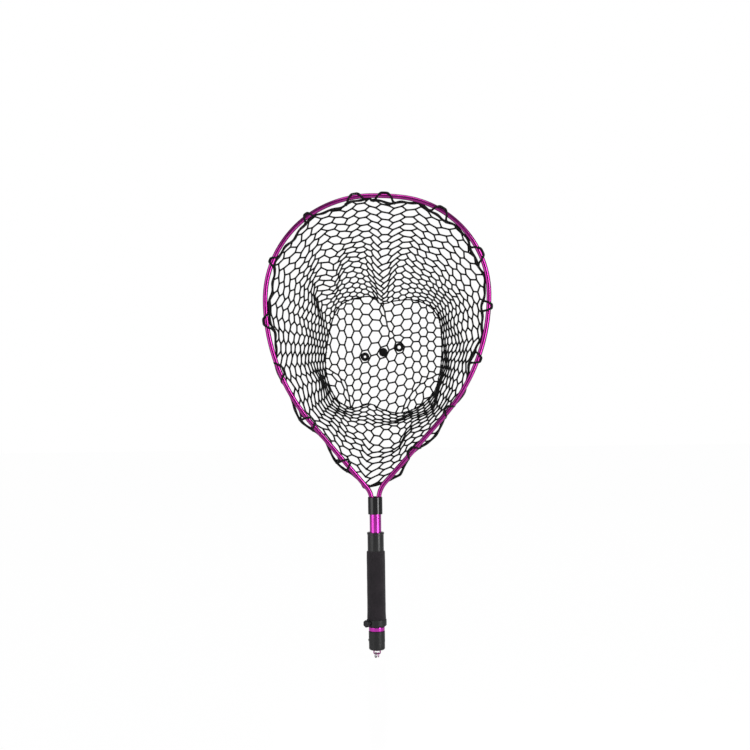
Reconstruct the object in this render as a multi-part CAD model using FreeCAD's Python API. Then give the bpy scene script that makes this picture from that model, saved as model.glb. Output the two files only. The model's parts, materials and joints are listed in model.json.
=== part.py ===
"""Landing net: a teardrop hoop with a deep bag, on a short telescopic handle with a foam grip.

Millimetres. +Z runs up the handle to the hoop's crown, the hoop lies in the XZ plane and the bag hangs
towards +Y. The origin is the middle of the grip, on the handle's axis. Every piece is one node.
"""
import FreeCAD, Part
import math
import os

V = FreeCAD.Vector
UP = V(0, 0, 1)
LEFT = V(-1, 0, 0)
BACK = V(0, 1, 0)
ORIGIN = V(0, 0, 0)

# ---- Driving dimensions ----
FIT = 0.05            # radial running clearance of a shaft in its bore
GAP = 0.3             # clear gap between pieces that move past each other

# Hoop: two bent half tubes. The crown seam lies over the handle, and the right half bows out further.
HOOP_REACH = 486.0    # foot of the neck bends up to the crown, on the tube's centre line
HOOP_TUBE_RADIUS = 3.9
HOOP_TUBE_WALL = 1.0
LEG_OFFSET = 5.9      # handle axis to each leg's centre line in the neck
LEFT_HALF = {"side": -1, "half_width": 171.8, "crown_radius": 180.0, "crown_angle": 26.0,
             "lean": 40.0, "neck_radius": 29.0}
RIGHT_HALF = {"side": 1, "half_width": 186.5, "crown_radius": 400.0, "crown_angle": 7.0,
              "lean": 42.4, "neck_radius": 40.0}
CROWN_SPIGOT_LENGTH = 44.0
CROWN_SEAM = 0.2      # gap between the two half tubes at the crown

# Neck
NECK_COLLAR_WALL = 1.1      # outside the plug
NECK_COLLAR_LENGTH = 27.5
NECK_COLLAR_LIP = 7.0       # lower part of the collar, which is bored for the inner tube
NECK_COLLAR_CHAMFER = 1.0
NECK_CHAMFER_SHARE = 0.6     # most of the collar's wall that the chamfer may take
NECK_PLUG_WALL = 0.55       # plug material outside each leg bore
NECK_COLLAR_OVERLAP = 4.0   # collar's mouth above the foot of the neck bends
NECK_SPIGOT_LENGTH = 16.0
LEG_SEAT_ABOVE_LIP = 3.0
RIVET_RADIUS = 1.2
RIVET_DEPTH = 8.6
RIVET_HEAD_RADIUS = 2.2
RIVET_HEAD_HEIGHT = 0.8

# Telescopic handle
INNER_TUBE_RADIUS = 9.2
INNER_TUBE_WALL = 1.0
INNER_TUBE_SHOWN = 29.0     # inner tube in sight when the handle is closed
GUIDE_BUSH_WALL = 0.7       # between the inner tube and the handle tube
HANDLE_TUBE_WALL = 1.0
GUIDE_BUSH_LENGTH = 20.0
GUIDE_WEB = 4.0
FOOT_PLUG_LENGTH = 14.0
FOOT_SCREW_RADIUS = 2.0
FOOT_SCREW_HEAD_RADIUS = 3.5
FOOT_SCREW_HEAD_HEIGHT = 1.5
FOOT_SCREW_SLOT = 0.8

# Twist lock
LOCK_COLLAR_WALL = 0.9      # outside the threaded sleeve
LOCK_COLLAR_LENGTH = 29.2
LOCK_LIP_FLARE = 0.6        # lip beyond the collar's side
LOCK_LIP_HEIGHT = 3.2
LOCK_LIP_ROUNDING = 0.84
LOCK_TOP_WEB = 3.0
LOCK_THROAT = 0.4           # radial gap between the collar's throat and the inner tube
SLEEVE_WALL = 1.0
COLLET_HEIGHT = 9.0
COLLET_TOP_WALL = 1.05
COLLET_SLOT = 1.0
COLLET_SLOTS = 4
COLLET_SOLID_FOOT = 2.25    # the slots stop this far above the collet's foot
THREAD_RIDGES = 4
THREAD_PITCH = 2.2
THREAD_DEPTH = 0.35

# Grip, trim ring and end cap
GRIP_LENGTH = 121.0
GRIP_WALL = 3.55
GRIP_FOOT_FLARE = 0.5
GRIP_FLARE_LENGTH = 24.0
GRIP_EDGE = 1.2
TRIM_LENGTH = 7.4
TRIM_WALL = 1.65
TRIM_ROUNDING = 1.53
END_CAP_WALL = 1.95
END_CAP_STEP = 0.2          # the cap is this much slimmer below its screw
END_CAP_STEP_BELOW_SCREW = 3.0
END_CAP_LENGTH = 30.0
END_CAP_FLOOR = 3.0
END_CAP_ROUNDING = 3.0
END_CAP_RIM_ROUNDING = 0.6
CAP_SCREW_BELOW_RIM = 14.2
SCREW_RADIUS = 1.2
SCREW_HEAD_RADIUS = 2.2
SCREW_HEAD_HEIGHT = 0.9
SCREW_BITE = 2.5            # screw's reach past the handle tube into the plug
BUTT_PLUG_STOP_GAP = 0.3    # guide bush above the plug when the handle is closed
BUTT_PLUG_LENGTH = 20.0
NUT_POCKET_RADIUS = 5.4
NUT_POCKET_DEPTH = 9.0

# Swivel eye under the cap, with a split ring and a small link hung on its bar
EYE_STEM_RADIUS = 2.0
EYE_BOSS_RADIUS = 2.7
EYE_BOSS_HEIGHT = 1.6
EYE_WIRE_RADIUS = 1.0
EYE_WIDTH = 10.0            # between the centre lines of the eye's two sides
EYE_DROP = 5.3              # between the centre lines of its top and its bar
EYE_CORNER = 1.6
EYE_WASHER_RADIUS = 4.6
EYE_WASHER_HEIGHT = 1.0
EYE_NUT_FLATS = 7.0
EYE_NUT_HEIGHT = 3.2
HUNG_GAP = 0.15             # between the bar and a wire that hangs on it
RING_RADIUS = 4.0
RING_WIRE_RADIUS = 0.55
RING_TURN_PITCH = 0.88      # between the ring's two turns
LINK_WIRE_RADIUS = 0.5
LINK_END_RADIUS = 2.4
LINK_STRAIGHT = 2.5
HUNG_OFFSET = 2.0           # each hung piece from the middle of the bar
HUNG_TURN = 18.0            # each hung piece turned from square to the bar, in degrees

# Clamp band round the foot of the grip, with a thumb screw that points to the front and left
BAND_HEIGHT = 9.0
BAND_THICKNESS = 0.8
BAND_ABOVE_FOOT = 6.6       # middle of the band above the foot of the grip
CLAMP_ANGLE = 50.0          # screw's axis from the front towards the left, in degrees
CLAMP_BOSS_RADIUS = 3.4
CLAMP_BOSS_HEIGHT = 1.6
CLAMP_SCREW_RADIUS = 1.5
KNOB_RADIUS = 5.8
KNOB_HEIGHT = 5.6
KNOB_FLUTES = 6
KNOB_FLUTE_RADIUS = 1.6
KNOB_FLUTE_OUTSIDE = 0.53   # flute's centre outside the knob's rim
KNOB_ROUNDING = 0.9
KNOB_WALL = 1.4             # knob material over the screw's head end

# Bag and the loops that tie it to the hoop
BAG_DEPTH = 182.0
BAG_WALL = 1.8
BAG_FRONT = 2.0             # the mouth's edge stands this far in front of the hoop's plane
BAG_LOWEST_ABOVE_BEND = 36.0
PANEL_CENTRE_X = 21.0
PANEL_BELOW_CROWN = 246.0
PANEL_HALF_WIDTH = 97.0
PANEL_HALF_HEIGHT = 95.0
LOOP_COUNT = 15
LOOP_WIRE_RADIUS = 1.2
LOOP_CLEARANCE = 0.4
BAG_TO_LOOP = 0.8
MOUTH_POINTS = 12           # points on each side of the mouth's outline
# Sections of the bag: how far the mouth's outline has turned into the bottom panel's, and how deep
PROFILE = [(0.0, 0.0), (0.36, 0.25), (0.68, 0.55), (0.90, 0.82), (1.0, 0.94), (1.10, 1.0)]

# ---- Heights that follow from them, along the handle's axis ----
grip_top = GRIP_LENGTH / 2
grip_foot = -GRIP_LENGTH / 2
trim_foot = grip_foot - TRIM_LENGTH
cap_foot = trim_foot - END_CAP_LENGTH
cap_floor = cap_foot + END_CAP_FLOOR
plug_top = cap_floor + BUTT_PLUG_LENGTH
guide_foot = plug_top + BUTT_PLUG_STOP_GAP
lock_foot = grip_top + GAP
lock_top = lock_foot + LOCK_COLLAR_LENGTH
collet_top = lock_top - LOCK_TOP_WEB - GAP
handle_tube_top = collet_top - COLLET_HEIGHT
neck_foot = lock_top + INNER_TUBE_SHOWN
neck_step = neck_foot + NECK_COLLAR_LIP
neck_top = neck_foot + NECK_COLLAR_LENGTH
bend_foot = neck_top - NECK_COLLAR_OVERLAP
crown = bend_foot + HOOP_REACH
leg_seat = neck_step + LEG_SEAT_ABOVE_LIP

# ---- Radii that follow from them, out from the hoop's legs and the inner tube ----
plug_radius = LEG_OFFSET + HOOP_TUBE_RADIUS + NECK_PLUG_WALL
neck_collar_radius = max(plug_radius, INNER_TUBE_RADIUS) + FIT + NECK_COLLAR_WALL
inner_bore = INNER_TUBE_RADIUS - INNER_TUBE_WALL
handle_bore = INNER_TUBE_RADIUS + FIT + GUIDE_BUSH_WALL + FIT
handle_tube_radius = handle_bore + HANDLE_TUBE_WALL
outer_bore = handle_tube_radius + FIT     # of what is fitted over the handle tube
sleeve_radius = outer_bore + SLEEVE_WALL
lock_collar_radius = sleeve_radius + FIT + LOCK_COLLAR_WALL
lock_lip_radius = lock_collar_radius + LOCK_LIP_FLARE
collet_top_radius = INNER_TUBE_RADIUS + FIT + COLLET_TOP_WALL
grip_radius = outer_bore + GRIP_WALL
grip_foot_radius = grip_radius + GRIP_FOOT_FLARE
trim_radius = outer_bore + TRIM_WALL
end_cap_radius = outer_bore + END_CAP_WALL
end_cap_foot_radius = end_cap_radius - END_CAP_STEP


# ---- Small shape helpers ----
def rod(radius, start, end, direction=UP):
    """A cylinder between two distances along a direction from the origin."""
    return Part.makeCylinder(radius, end - start, direction * start, direction)


def rod_at(radius, place, length, direction):
    """A cylinder from a point, along a direction."""
    return Part.makeCylinder(radius, length, place, direction)


def tube(outer, inner, low, high):
    return rod(outer, low, high).cut(rod(inner, low - 1, high + 1))


def box(low, high):
    size = high - low
    return Part.makeBox(size.x, size.y, size.z, low)


def rounded(shape, radius, picked):
    """Fillets the circular edges that a test on their centre and radius picks."""
    edges = [edge for edge in shape.Edges
             if isinstance(edge.Curve, Part.Circle) and picked(edge.Curve.Center, edge.Curve.Radius)]
    return shape.makeFillet(radius, edges)


def circle_wire(place, direction, radius):
    return Part.Wire(Part.makeCircle(radius, place, direction))


def swept(path, start, direction, radius):
    """A round bar along a wire."""
    return path.makePipeShell([circle_wire(start, direction, radius)], True, True)


def dome_head(radius, height):
    """A low domed head on +Z, its foot at the origin."""
    ball = (radius * radius + height * height) / (2 * height)
    sphere = Part.makeSphere(ball, V(0, 0, height - ball))
    return sphere.common(rod(radius, 0, height + 1))


def turned_to(shape, place, direction):
    """Turns a shape from +Z to a direction and moves its origin to a place."""
    moved = shape.copy()
    moved.Placement = FreeCAD.Placement(place, FreeCAD.Rotation(UP, direction))
    return moved


def radial_fastener(surface_radius, direction, height, shank, head, head_height, depth):
    """A headed pin pressed into a round surface, its head's underside shaped to it."""
    sink = surface_radius - math.sqrt(surface_radius ** 2 - head ** 2)
    seat = direction * (surface_radius - sink) + V(0, 0, height)
    dome = turned_to(dome_head(head, head_height + sink), seat, direction)
    dome = dome.cut(rod(surface_radius, height - 2 * head, height + 2 * head))
    stem = rod_at(shank, direction * (surface_radius - depth) + V(0, 0, height), depth + sink / 2,
                  direction)
    return dome.fuse(stem).removeSplitter()


def radial_hole(surface_radius, direction, height, shank, depth):
    """The hole that such a pin needs."""
    start = direction * (surface_radius - depth - FIT) + V(0, 0, height)
    return rod_at(shank + FIT, start, depth + 2 * surface_radius, direction)


# ---- Hoop outline ----
def hoop_half(half):
    """Works out one half of the hoop's centre line, as arcs and runs from the crown down to the neck.

    The crown arc turns into a shoulder arc, which ends where the hoop is widest. A flank arc and a
    straight run lead in to the neck bend. The flank's radius and the run close the outline.
    """
    turn = math.radians(half["crown_angle"])
    lean = math.radians(half["lean"])
    neck = half["neck_radius"]
    shoulder = (half["half_width"] - half["crown_radius"] * math.sin(turn)) / (1 - math.sin(turn))
    fall = half["crown_radius"] * (1 - math.cos(turn)) + shoulder * math.cos(turn)
    across = LEG_OFFSET - half["half_width"] + neck * (1 - math.cos(lean))
    down = HOOP_REACH - fall - neck * math.sin(lean)
    # flank * (cos - 1) - run * sin = across, and flank * sin + run * cos = down
    det = (math.cos(lean) - 1) * math.cos(lean) + math.sin(lean) ** 2
    flank = (across * math.cos(lean) + down * math.sin(lean)) / det
    run = ((math.cos(lean) - 1) * down - math.sin(lean) * across) / det
    return [("arc", half["crown_radius"], turn), ("arc", shoulder, math.pi / 2 - turn),
            ("arc", flank, lean), ("run", run, 0.0), ("arc", -neck, lean),
            ("run", bend_foot - leg_seat, 0.0)]


def on_arc(side, centre, radius, heading, turned):
    now = heading + turned
    return centre + V(side * math.sin(now), 0, math.cos(now)) * radius


def hoop_point(half, distance):
    """The centre line's point and heading at a distance from the crown."""
    side = half["side"]
    place = V(0, 0, crown)
    heading = 0.0
    for kind, size, turn in hoop_half(half):
        length = size if kind == "run" else abs(size) * turn
        forward = V(side * math.cos(heading), 0, -math.sin(heading))
        step = min(distance, length)
        if kind == "run":
            place = place + forward * step
        else:
            inward = V(-side * math.sin(heading), 0, -math.cos(heading))
            centre = place + inward * size
            turned = step / size
            place = on_arc(side, centre, size, heading, turned)
            heading += turned
        distance -= step
        if distance <= 0:
            break
    forward = V(side * math.cos(heading), 0, -math.sin(heading))
    return place, forward


def half_length(half):
    """Centre line length from the crown to the start of the neck bend."""
    return sum(size if kind == "run" else size * turn for kind, size, turn in hoop_half(half)[:4])


def hoop_path(half, start):
    """One half's centre line from a distance beside the crown seam down to the leg's end."""
    edges = []
    covered = 0.0
    for kind, size, turn in hoop_half(half):
        length = size if kind == "run" else abs(size) * turn
        first = max(covered, start)
        covered += length
        points = [hoop_point(half, first + (covered - first) * share)[0] for share in (0.0, 0.5, 1.0)]
        curve = Part.LineSegment(points[0], points[2]) if kind == "run" else Part.Arc(*points)
        edges.append(curve.toShape())
    return Part.Wire(edges)


def hoop_tube(half):
    path = hoop_path(half, CROWN_SEAM / 2)
    start, forward = hoop_point(half, CROWN_SEAM / 2)
    outer = swept(path, start, forward, HOOP_TUBE_RADIUS)
    inner = swept(path, start, forward, HOOP_TUBE_RADIUS - HOOP_TUBE_WALL)
    return outer.cut(inner)


def hoop_joint_pin():
    """Curved spigot inside the crown seam: half of it in each tube."""
    reach = CROWN_SPIGOT_LENGTH / 2
    bore = HOOP_TUBE_RADIUS - HOOP_TUBE_WALL - FIT
    halves = []
    for half in (LEFT_HALF, RIGHT_HALF):
        points = [hoop_point(half, reach * share)[0] for share in (0.0, 0.5, 1.0)]
        path = Part.Wire([Part.Arc(*points).toShape()])
        halves.append(swept(path, points[0], hoop_point(half, 0.0)[1], bore))
    return halves[0].fuse(halves[1]).removeSplitter()


# ---- Neck ----
def neck_rivet_heights():
    return (neck_foot + NECK_COLLAR_LIP / 2, (leg_seat + neck_top) / 2 + LEG_SEAT_ABOVE_LIP)


def neck_collar():
    body = rod(neck_collar_radius, neck_foot, neck_top)
    body = body.cut(rod(INNER_TUBE_RADIUS + FIT, neck_foot - 1, neck_step))
    body = body.cut(rod(plug_radius + FIT, neck_step, neck_top + 1))
    outer_top = [edge for edge in body.Edges if isinstance(edge.Curve, Part.Circle)
                 and abs(edge.Curve.Center.z - neck_top) < FIT
                 and edge.Curve.Radius > plug_radius + 2 * FIT]
    chamfer = min(NECK_COLLAR_CHAMFER, NECK_CHAMFER_SHARE * (neck_collar_radius - plug_radius))
    body = body.makeChamfer(chamfer, outer_top)
    for height in neck_rivet_heights():
        body = body.cut(radial_hole(neck_collar_radius, BACK, height, RIVET_RADIUS, RIVET_DEPTH))
    return body


def neck_plug():
    """Plug with a bore for each leg above and a spigot for the inner tube below."""
    body = rod(plug_radius, neck_step, bend_foot)
    body = body.fuse(rod(inner_bore - FIT, neck_step - NECK_SPIGOT_LENGTH, neck_step)).removeSplitter()
    for side in (-1, 1):
        body = body.cut(rod_at(HOOP_TUBE_RADIUS + FIT, V(side * LEG_OFFSET, 0, leg_seat),
                               NECK_COLLAR_LENGTH, UP))
    for height in neck_rivet_heights():
        body = body.cut(radial_hole(neck_collar_radius, BACK, height, RIVET_RADIUS, RIVET_DEPTH))
    return body


def neck_rivets():
    return [radial_fastener(neck_collar_radius, BACK, height, RIVET_RADIUS, RIVET_HEAD_RADIUS,
                            RIVET_HEAD_HEIGHT, RIVET_DEPTH) for height in neck_rivet_heights()]


# ---- Telescopic handle ----
inner_tube_foot = guide_foot + GUIDE_WEB + GAP


def inner_tube():
    body = tube(INNER_TUBE_RADIUS, inner_bore, inner_tube_foot, neck_step - FIT)
    return body.cut(radial_hole(neck_collar_radius, BACK, neck_rivet_heights()[0], RIVET_RADIUS,
                                RIVET_DEPTH))


def foot_plug():
    """Plug in the foot of the inner tube, tapped for the screw that holds the guide bush."""
    body = rod(inner_bore - FIT, inner_tube_foot, inner_tube_foot + FOOT_PLUG_LENGTH)
    return body.cut(rod(FOOT_SCREW_RADIUS + FIT, inner_tube_foot - 1,
                        inner_tube_foot + FOOT_PLUG_LENGTH + 1))


screw_pocket = guide_foot + FOOT_SCREW_HEAD_HEIGHT + 2 * GAP


def guide_bush():
    """Bush that slides in the handle tube, while the inner tube turns in it."""
    body = rod(handle_bore - FIT, guide_foot, guide_foot + GUIDE_BUSH_LENGTH)
    body = body.cut(rod(INNER_TUBE_RADIUS + FIT, guide_foot + GUIDE_WEB,
                        guide_foot + GUIDE_BUSH_LENGTH + 1))
    body = body.cut(rod(FOOT_SCREW_RADIUS + FIT, guide_foot - 1, guide_foot + GUIDE_WEB + 1))
    return body.cut(rod(FOOT_SCREW_HEAD_RADIUS + GAP, guide_foot - 1, screw_pocket))


def foot_screw():
    head_top = screw_pocket - GAP
    head = rod(FOOT_SCREW_HEAD_RADIUS, head_top - FOOT_SCREW_HEAD_HEIGHT, head_top)
    slot = box(V(-FOOT_SCREW_HEAD_RADIUS, -FOOT_SCREW_SLOT / 2, head_top - FOOT_SCREW_HEAD_HEIGHT - 1),
               V(FOOT_SCREW_HEAD_RADIUS, FOOT_SCREW_SLOT / 2, head_top - FOOT_SCREW_HEAD_HEIGHT / 2))
    stem = rod(FOOT_SCREW_RADIUS, head_top - GAP, inner_tube_foot + FOOT_PLUG_LENGTH - 1)
    return head.cut(slot).fuse(stem).removeSplitter()


def outer_tube():
    body = tube(handle_tube_radius, handle_bore, cap_floor, handle_tube_top)
    return body.cut(cap_screw_hole())


# ---- Twist lock ----
def collar_sleeve():
    """Sleeve on the head of the handle tube. Its thread is stood for by rings."""
    body = tube(sleeve_radius, outer_bore, grip_top, handle_tube_top)
    for index in range(THREAD_RIDGES):
        low = handle_tube_top - (index + 1) * THREAD_PITCH
        groove = tube(sleeve_radius + 1, sleeve_radius - THREAD_DEPTH, low, low + THREAD_PITCH / 2)
        body = body.cut(groove)
    return body


def collet():
    """Split taper ring that the twist collar closes on the inner tube."""
    cone = Part.makeCone(handle_tube_radius, collet_top_radius, COLLET_HEIGHT, V(0, 0, handle_tube_top))
    body = cone.cut(rod(INNER_TUBE_RADIUS + FIT, handle_tube_top - 1, collet_top + 1))
    for index in range(COLLET_SLOTS):
        slot = box(V(0, -COLLET_SLOT / 2, handle_tube_top + COLLET_SOLID_FOOT),
                   V(2 * handle_tube_radius, COLLET_SLOT / 2, collet_top + 1))
        slot.rotate(ORIGIN, UP, 45 + 360 / COLLET_SLOTS * index)
        body = body.cut(slot)
    return body


def lock_collar():
    body = rod(lock_collar_radius, lock_foot, lock_top)
    lip_low = lock_top - LOCK_LIP_HEIGHT
    body = body.fuse(Part.makeCone(lock_collar_radius, lock_lip_radius, LOCK_LIP_FLARE,
                                   V(0, 0, lip_low - LOCK_LIP_FLARE)))
    body = body.fuse(rod(lock_lip_radius, lip_low, lock_top)).removeSplitter()
    body = rounded(body, min(LOCK_LIP_ROUNDING, LOCK_LIP_HEIGHT / 3),
                   lambda c, r: abs(c.z - lock_top) < FIT and r > lock_collar_radius)
    bore = rod(sleeve_radius + FIT, lock_foot - 1, handle_tube_top + GAP)
    taper = Part.makeCone(handle_tube_radius + GAP, collet_top_radius + GAP, COLLET_HEIGHT,
                          V(0, 0, handle_tube_top))
    room = rod(collet_top_radius + GAP, collet_top - FIT, lock_top - LOCK_TOP_WEB)
    throat = rod(INNER_TUBE_RADIUS + LOCK_THROAT, lock_foot, lock_top + 1)
    for hollow in (bore, taper, room, throat):
        body = body.cut(hollow)
    return body


# ---- Grip and butt ----
def grip():
    flare_top = grip_foot + GRIP_FLARE_LENGTH
    foot = grip_foot + BAND_ABOVE_FOOT + BAND_HEIGHT / 2 + GRIP_EDGE
    outline = [V(outer_bore, 0, grip_foot), V(grip_foot_radius, 0, grip_foot),
               V(grip_foot_radius, 0, foot), V(grip_radius, 0, flare_top),
               V(grip_radius, 0, grip_top), V(outer_bore, 0, grip_top)]
    outline.append(outline[0])
    body = Part.Face(Part.makePolygon(outline)).revolve(ORIGIN, UP, 360)
    body = rounded(body, GRIP_EDGE, lambda c, r: r >= grip_radius - FIT
                   and (abs(c.z - grip_foot) < FIT or abs(c.z - grip_top) < FIT))
    return body.cut(clamp_screw_hole())


def trim_ring():
    body = tube(trim_radius, outer_bore, trim_foot, grip_foot)
    rounding = min(TRIM_ROUNDING, TRIM_LENGTH / 2 - FIT, TRIM_WALL - 2 * FIT)
    return rounded(body, rounding, lambda c, r: r > outer_bore + FIT)


cap_screw_height = trim_foot - CAP_SCREW_BELOW_RIM
cap_screw_depth = end_cap_radius - handle_bore + SCREW_BITE


def cap_screw_hole():
    return radial_hole(end_cap_radius, LEFT, cap_screw_height, SCREW_RADIUS, cap_screw_depth)


def end_cap():
    step = cap_screw_height - END_CAP_STEP_BELOW_SCREW
    body = rod(end_cap_radius, step, trim_foot).fuse(rod(end_cap_foot_radius, cap_foot, step))
    body = rounded(body, END_CAP_ROUNDING, lambda c, r: abs(c.z - cap_foot) < FIT)
    body = rounded(body, END_CAP_RIM_ROUNDING, lambda c, r: abs(c.z - trim_foot) < FIT)
    body = body.cut(rod(outer_bore, cap_floor, trim_foot + 1))
    body = body.cut(rod(EYE_STEM_RADIUS + FIT, cap_foot - 1, cap_floor + 1))
    return body.cut(cap_screw_hole())


def cap_screw():
    return radial_fastener(end_cap_radius, LEFT, cap_screw_height, SCREW_RADIUS, SCREW_HEAD_RADIUS,
                           SCREW_HEAD_HEIGHT, cap_screw_depth)


nut_floor = plug_top - NUT_POCKET_DEPTH


def butt_plug():
    body = rod(handle_bore - FIT, cap_floor, plug_top)
    body = body.cut(rod(EYE_STEM_RADIUS + FIT, cap_floor - 1, plug_top + 1))
    body = body.cut(rod(NUT_POCKET_RADIUS, nut_floor, plug_top + 1))
    return body.cut(cap_screw_hole())


# ---- Swivel eye and what hangs on it ----
eye_top = cap_foot - GAP
eye_rail = eye_top - EYE_BOSS_HEIGHT / 2
eye_bar = eye_rail - EYE_DROP
washer_foot = nut_floor
nut_foot = washer_foot + EYE_WASHER_HEIGHT + GAP


def rounded_loop(half_width, low, high, corner):
    """A closed wire in the XZ plane: a rectangle with round corners, begun halfway up its right side."""
    start = V(half_width, 0, (low + high) / 2)
    inset = corner * (1 - math.sqrt(0.5))
    edges = []
    place = start
    for side, level, up in ((1, high, 1), (-1, high, 1), (-1, low, -1), (1, low, -1)):
        tall = V(side * half_width, 0, level - up * corner)
        flat = V(side * (half_width - corner), 0, level)
        middle = V(side * (half_width - inset), 0, level - up * inset)
        first, last = (tall, flat) if side * up > 0 else (flat, tall)
        edges.append(Part.makeLine(place, first))
        edges.append(Part.Arc(first, middle, last).toShape())
        place = last
    edges.append(Part.makeLine(place, start))
    return start, Part.Wire(edges)


def butt_eye():
    start, path = rounded_loop(EYE_WIDTH / 2, eye_bar, eye_rail, EYE_CORNER)
    ring = swept(path, start, UP, EYE_WIRE_RADIUS)
    boss = rod(EYE_BOSS_RADIUS, eye_top - EYE_BOSS_HEIGHT, eye_top)
    stem = rod(EYE_STEM_RADIUS, eye_top - EYE_BOSS_HEIGHT / 2, nut_foot + EYE_NUT_HEIGHT + 1)
    return ring.fuse(boss).fuse(stem).removeSplitter()


def eye_washer():
    return tube(EYE_WASHER_RADIUS, EYE_STEM_RADIUS + FIT, washer_foot, washer_foot + EYE_WASHER_HEIGHT)


def hexagon(flats, low, high):
    corner = flats / math.sqrt(3)
    points = [V(corner * math.cos(math.radians(60 * k)), corner * math.sin(math.radians(60 * k)), low)
              for k in range(7)]
    return Part.Face(Part.makePolygon(points)).extrude(V(0, 0, high - low))


def eye_nut():
    body = hexagon(EYE_NUT_FLATS, nut_foot, nut_foot + EYE_NUT_HEIGHT)
    return body.cut(rod(EYE_STEM_RADIUS + FIT, nut_foot - 1, nut_foot + EYE_NUT_HEIGHT + 1))


def hung(shape, side, wire):
    """Hangs a loop, made in the YZ plane with its top wire at the origin, on one end of the bar."""
    top = eye_bar + EYE_WIRE_RADIUS + HUNG_GAP + wire
    shape.rotate(ORIGIN, UP, side * HUNG_TURN)
    shape.translate(V(side * HUNG_OFFSET, 0, top))
    return shape


def split_ring():
    """Two turns of wire side by side."""
    turns = [Part.makeTorus(RING_RADIUS, RING_WIRE_RADIUS, V(offset, 0, -RING_RADIUS), V(1, 0, 0))
             for offset in (-RING_TURN_PITCH / 2, RING_TURN_PITCH / 2)]
    return hung(turns[0].fuse(turns[1]).removeSplitter(), -1, RING_WIRE_RADIUS)


def small_link():
    """An oval wire link."""
    r = LINK_END_RADIUS
    upper = V(0, 0, -r)
    lower = V(0, 0, -r - LINK_STRAIGHT)
    side = V(0, r, 0)
    top = Part.Arc(upper - side, upper + V(0, 0, r), upper + side).toShape()
    foot = Part.Arc(lower + side, lower - V(0, 0, r), lower - side).toShape()
    path = Part.Wire([top, Part.makeLine(upper + side, lower + side), foot,
                      Part.makeLine(lower - side, upper - side)])
    body = swept(path, upper - side, UP, LINK_WIRE_RADIUS)
    return hung(body, 1, LINK_WIRE_RADIUS)


# ---- Clamp band ----
band_height = grip_foot + BAND_ABOVE_FOOT
band_inner = grip_foot_radius + FIT
band_outer = band_inner + BAND_THICKNESS
boss_face = band_outer + CLAMP_BOSS_HEIGHT
knob_face = boss_face + GAP
clamp_out = V(-math.sin(math.radians(CLAMP_ANGLE)), -math.cos(math.radians(CLAMP_ANGLE)), 0)


def clamp_bar(radius, start, end):
    """A cylinder on the clamp screw's axis, between two distances from the handle's axis."""
    return rod_at(radius, clamp_out * start + V(0, 0, band_height), end - start, clamp_out)


def clamp_screw_hole():
    return clamp_bar(CLAMP_SCREW_RADIUS + FIT, outer_bore, 2 * band_outer)


def clamp_band():
    ring = rod(band_outer, band_height - BAND_HEIGHT / 2, band_height + BAND_HEIGHT / 2)
    body = ring.fuse(clamp_bar(CLAMP_BOSS_RADIUS, band_inner, boss_face)).removeSplitter()
    body = body.cut(rod(band_inner, band_height - BAND_HEIGHT, band_height + BAND_HEIGHT))
    return body.cut(clamp_screw_hole())


def clamp_screw():
    """Screw whose tip bears on the handle tube, through the grip. Its head end is in the knob."""
    return clamp_bar(CLAMP_SCREW_RADIUS, outer_bore, knob_face + KNOB_HEIGHT - KNOB_WALL)


def clamp_knob():
    """Fluted knob moulded on the screw. Its rims are rounded."""
    body = clamp_bar(KNOB_RADIUS, knob_face, knob_face + KNOB_HEIGHT)
    body = rounded(body, min(KNOB_ROUNDING, KNOB_HEIGHT / 4), lambda c, r: abs(r - KNOB_RADIUS) < FIT)
    reach = KNOB_RADIUS + KNOB_FLUTE_OUTSIDE
    for index in range(KNOB_FLUTES):
        flute = clamp_bar(KNOB_FLUTE_RADIUS, knob_face - 1, knob_face + KNOB_HEIGHT + 1)
        flute.translate(V(0, 0, reach))
        flute.rotate(V(0, 0, band_height), clamp_out, 360 / KNOB_FLUTES * (index + 0.5))
        body = body.cut(flute)
    return body.cut(clamp_bar(CLAMP_SCREW_RADIUS, knob_face - 1, knob_face + KNOB_HEIGHT - KNOB_WALL))


# ---- Bag and its loops ----
loop_radius = HOOP_TUBE_RADIUS + LOOP_CLEARANCE + LOOP_WIRE_RADIUS
mouth_inset = loop_radius + LOOP_WIRE_RADIUS + BAG_TO_LOOP


def mouth_outline(inset):
    """Points round the mouth, from the crown down one side, across the foot and up the other."""
    lowest = V(0, 0, bend_foot + BAG_LOWEST_ABOVE_BEND + inset)
    sides = []
    for half in (RIGHT_HALF, LEFT_HALF):
        foot_trim = BAG_LOWEST_ABOVE_BEND / math.cos(math.radians(half["lean"]))
        reach = half_length(half) - foot_trim
        points = []
        for index in range(1, MOUTH_POINTS + 1):
            place, forward = hoop_point(half, reach * index / MOUTH_POINTS)
            inward = V(forward.z, 0, -forward.x) * half["side"]
            points.append(place + inward * inset)
        sides.append(points)
    top = V(0, 0, crown - inset)
    return [top] + sides[0] + [lowest] + sides[1][::-1]


def bag_section(points, share, depth, inset):
    """One closed outline of the bag: the mouth's shape turning into the bottom panel's."""
    middle = V(PANEL_CENTRE_X, 0, crown - PANEL_BELOW_CROWN)
    level = []
    for point in points:
        angle = math.atan2(point.z - middle.z, point.x - middle.x)
        panel = middle + V((PANEL_HALF_WIDTH - inset) * math.cos(angle), 0,
                           (PANEL_HALF_HEIGHT - inset) * math.sin(angle))
        place = point + (panel - point) * share
        level.append(V(place.x, depth, place.z))
    curve = Part.BSplineCurve()
    curve.interpolate(Points=level, PeriodicFlag=True)
    return Part.Wire(curve.toShape())


def bag_loft(inset, front, back):
    points = mouth_outline(mouth_inset + inset)
    wires = [bag_section(points, share, front + (back - front) * depth, inset)
             for share, depth in PROFILE]
    return Part.makeLoft(wires, True, False)


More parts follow.
